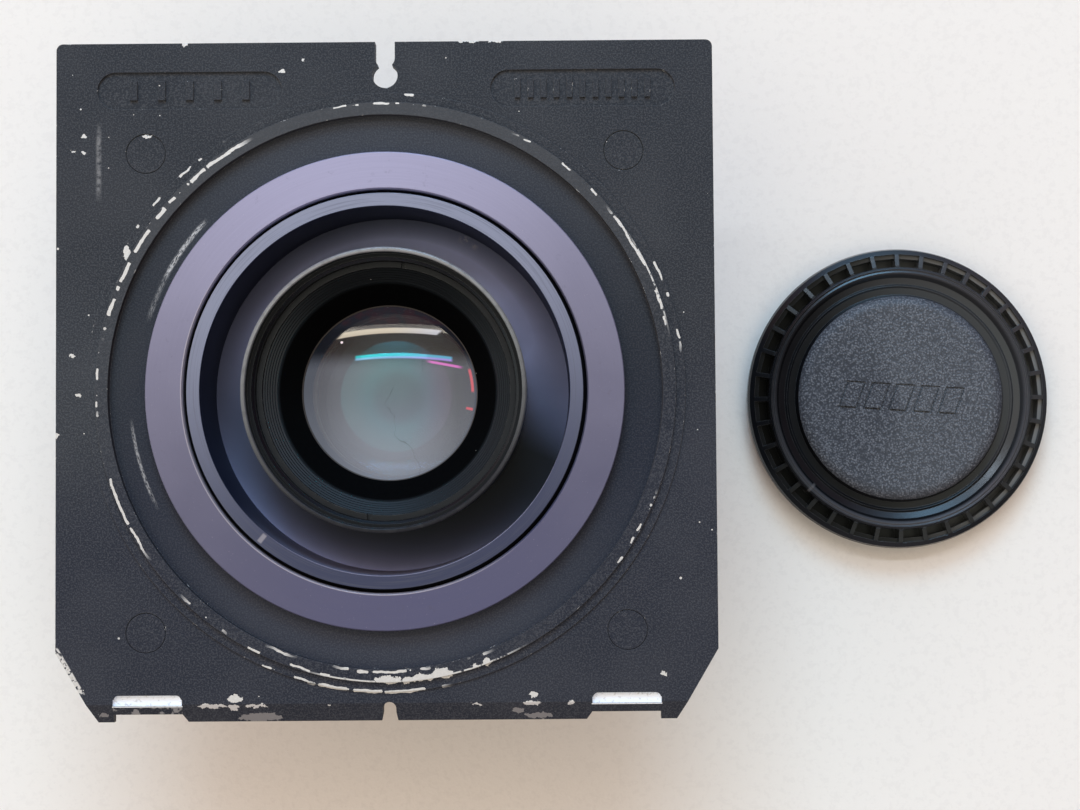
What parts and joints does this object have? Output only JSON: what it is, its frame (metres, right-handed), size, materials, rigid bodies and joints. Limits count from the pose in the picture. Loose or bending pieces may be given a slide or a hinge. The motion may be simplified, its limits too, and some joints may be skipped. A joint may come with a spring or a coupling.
{
  "type": "view camera lens on lens board",
  "caption": "Large-format lens in a leaf shutter on a flat lens board, standing front down with its rear cell showing and its slip-on rear cap beside it.",
  "frame": {"origin": "on the optical axis, in the plane of the flat rear face of the lens board", "axes": "+Z along the optical axis towards the film, +Y towards the edge of the board with the keyhole notch, +X to the right seen from behind"},
  "size_m": [0.1554, 0.0991, 0.05],
  "materials": {
    "board_paint": "matte black paint over cast alloy, chipped to bare metal on its edges",
    "tube_anodised": "faded dark anodising, satin",
    "clamp_ring_anodised": "sun-faded violet anodising, satin",
    "black_alloy": "black anodised, semi-matte",
    "baffle_black": "dead black paint",
    "optical_glass": "polished, coated",
    "steel": "turned steel",
    "blade_steel": "blued spring steel, dull",
    "chrome_lever": "satin chrome",
    "scale_alloy": "brushed plate",
    "brass": "turned brass",
    "cap_plastic": "black plastic, fine grain on its disc"
  },
  "bodies": {
    "lens": {"lens_board": "board_paint", "extension_tube": "tube_anodised", "tube_clamp_ring": "clamp_ring_anodised", "shutter_lock_ring": "black_alloy", "locating_screw": "steel", "rear_barrel": "black_alloy", "rear_lock_ring": "black_alloy", "rear_baffle": "baffle_black", "rear_crown_element": "optical_glass", "rear_flint_element": "optical_glass", "shutter_housing": "black_alloy", "housing_screws": "steel", "aperture_scale": "scale_alloy", "blade_plate": "steel", "mechanism_plate": "brass", "mechanism_screws": "steel", "mainspring": "steel", "release_pivot": "steel", "release_spring": "steel", "governor_bridge": "brass", "governor_screws": "steel", "bezel_ring": "black_alloy", "bezel_screws": "steel", "cable_release_socket": "chrome_lever", "flash_terminal": "chrome_lever", "flash_contact_pin": "brass", "front_barrel": "black_alloy", "second_element": "optical_glass", "element_spacer": "black_alloy", "front_element": "optical_glass", "front_trim_ring": "black_alloy"},
    "aperture_control": {"iris_drive_ring": "steel", "aperture_lever": "chrome_lever"},
    "blade_control": {"blade_drive_ring": "brass", "preview_lever": "chrome_lever"},
    "cocking": {"cocking_ring": "brass", "cocking_lever": "chrome_lever"},
    "governor": {"governor_pinion": "brass", "governor_wheel": "brass"},
    "escapement": {"escape_wheel": "brass"},
    "release": {"release_lever": "chrome_lever"},
    "speed_control": {"speed_ring": "black_alloy", "speed_cam": "brass"},
    "cap": {"rear_cap": "cap_plastic"},
    "iris_blade_1": {"iris_blade_1": "blade_steel"},
    "iris_blade_2": {"iris_blade_2": "blade_steel"},
    "iris_blade_3": {"iris_blade_3": "blade_steel"},
    "iris_blade_4": {"iris_blade_4": "blade_steel"},
    "iris_blade_5": {"iris_blade_5": "blade_steel"},
    "iris_blade_6": {"iris_blade_6": "blade_steel"},
    "iris_blade_7": {"iris_blade_7": "blade_steel"},
    "shutter_blade_1": {"shutter_blade_1": "blade_steel"},
    "shutter_blade_2": {"shutter_blade_2": "blade_steel"},
    "shutter_blade_3": {"shutter_blade_3": "blade_steel"},
    "shutter_blade_4": {"shutter_blade_4": "blade_steel"},
    "shutter_blade_5": {"shutter_blade_5": "blade_steel"}
  },
  "joints": [
    {"name": "aperture_lever_turn", "type": "hinge", "parent": "lens", "child": "aperture_control", "pos_m": [0, 0, -0.0191], "axis": [0, 0, 1], "range_deg": [-40, 0]},
    {"name": "iris_blade_1_turn", "type": "hinge", "parent": "lens", "child": "iris_blade_1", "pos_m": [0.0226, 0, -0.0175], "axis": [0, 0, 1], "range_deg": [0, 26]},
    {"name": "iris_blade_2_turn", "type": "hinge", "parent": "lens", "child": "iris_blade_2", "pos_m": [0.01409, 0.01767, -0.0175], "axis": [0, 0, 1], "range_deg": [0, 26]},
    {"name": "iris_blade_3_turn", "type": "hinge", "parent": "lens", "child": "iris_blade_3", "pos_m": [-0.00503, 0.02203, -0.0175], "axis": [0, 0, 1], "range_deg": [0, 26]},
    {"name": "iris_blade_4_turn", "type": "hinge", "parent": "lens", "child": "iris_blade_4", "pos_m": [-0.02036, 0.00981, -0.0175], "axis": [0, 0, 1], "range_deg": [0, 26]},
    {"name": "iris_blade_5_turn", "type": "hinge", "parent": "lens", "child": "iris_blade_5", "pos_m": [-0.02036, -0.00981, -0.0175], "axis": [0, 0, 1], "range_deg": [0, 26]},
    {"name": "iris_blade_6_turn", "type": "hinge", "parent": "lens", "child": "iris_blade_6", "pos_m": [-0.00503, -0.02203, -0.0175], "axis": [0, 0, 1], "range_deg": [0, 26]},
    {"name": "iris_blade_7_turn", "type": "hinge", "parent": "lens", "child": "iris_blade_7", "pos_m": [0.01409, -0.01767, -0.0175], "axis": [0, 0, 1], "range_deg": [0, 26]},
    {"name": "preview_lever_turn", "type": "hinge", "parent": "lens", "child": "blade_control", "pos_m": [0, 0, -0.0217], "axis": [0, 0, 1], "range_deg": [0, 20]},
    {"name": "shutter_blade_1_turn", "type": "hinge", "parent": "lens", "child": "shutter_blade_1", "pos_m": [0.025, 0, -0.0205], "axis": [0, 0, 1], "range_deg": [0, 31]},
    {"name": "shutter_blade_2_turn", "type": "hinge", "parent": "lens", "child": "shutter_blade_2", "pos_m": [0.00773, 0.02378, -0.0205], "axis": [0, 0, 1], "range_deg": [0, 31]},
    {"name": "shutter_blade_3_turn", "type": "hinge", "parent": "lens", "child": "shutter_blade_3", "pos_m": [-0.02022, 0.01469, -0.0205], "axis": [0, 0, 1], "range_deg": [0, 31]},
    {"name": "shutter_blade_4_turn", "type": "hinge", "parent": "lens", "child": "shutter_blade_4", "pos_m": [-0.02022, -0.01469, -0.0205], "axis": [0, 0, 1], "range_deg": [0, 31]},
    {"name": "shutter_blade_5_turn", "type": "hinge", "parent": "lens", "child": "shutter_blade_5", "pos_m": [0.00773, -0.02378, -0.0205], "axis": [0, 0, 1], "range_deg": [0, 31]},
    {"name": "cocking_lever_turn", "type": "hinge", "parent": "lens", "child": "cocking", "pos_m": [0, 0, -0.0241], "axis": [0, 0, 1], "range_deg": [0, 45]},
    {"name": "governor_spin", "type": "hinge", "parent": "lens", "child": "governor", "pos_m": [-0.01364, -0.01877, -0.0245], "axis": [0, 0, 1], "range_deg": [-282, 0]},
    {"name": "escapement_spin", "type": "hinge", "parent": "lens", "child": "escapement", "pos_m": [-0.00778, -0.02422, -0.0245], "axis": [0, 0, 1], "range_deg": [0, 523]},
    {"name": "release_lever_turn", "type": "hinge", "parent": "lens", "child": "release", "pos_m": [0.02515, 0.00353, -0.0241], "axis": [0, 0, 1], "range_deg": [0, 12]},
    {"name": "speed_ring_turn", "type": "hinge", "parent": "lens", "child": "speed_control", "pos_m": [0, 0, -0.031], "axis": [0, 0, 1], "range_deg": [0, 220]},
    {"name": "rear_cap_lift", "type": "slide", "parent": "lens", "child": "cap", "axis": [0, 0, 1], "range_m": [0, 0.06]}
  ],
  "couplings": [
    {"joint": "iris_blade_1_turn", "follows": "aperture_lever_turn", "ratio": -0.65},
    {"joint": "iris_blade_2_turn", "follows": "aperture_lever_turn", "ratio": -0.65},
    {"joint": "iris_blade_3_turn", "follows": "aperture_lever_turn", "ratio": -0.65},
    {"joint": "iris_blade_4_turn", "follows": "aperture_lever_turn", "ratio": -0.65},
    {"joint": "iris_blade_5_turn", "follows": "aperture_lever_turn", "ratio": -0.65},
    {"joint": "iris_blade_6_turn", "follows": "aperture_lever_turn", "ratio": -0.65},
    {"joint": "iris_blade_7_turn", "follows": "aperture_lever_turn", "ratio": -0.65},
    {"joint": "shutter_blade_1_turn", "follows": "preview_lever_turn", "ratio": 1.55},
    {"joint": "shutter_blade_2_turn", "follows": "preview_lever_turn", "ratio": 1.55},
    {"joint": "shutter_blade_3_turn", "follows": "preview_lever_turn", "ratio": 1.55},
    {"joint": "shutter_blade_4_turn", "follows": "preview_lever_turn", "ratio": 1.55},
    {"joint": "shutter_blade_5_turn", "follows": "preview_lever_turn", "ratio": 1.55},
    {"joint": "governor_spin", "follows": "cocking_lever_turn", "ratio": -6.25},
    {"joint": "escapement_spin", "follows": "cocking_lever_turn", "ratio": 11.607}
  ]
}
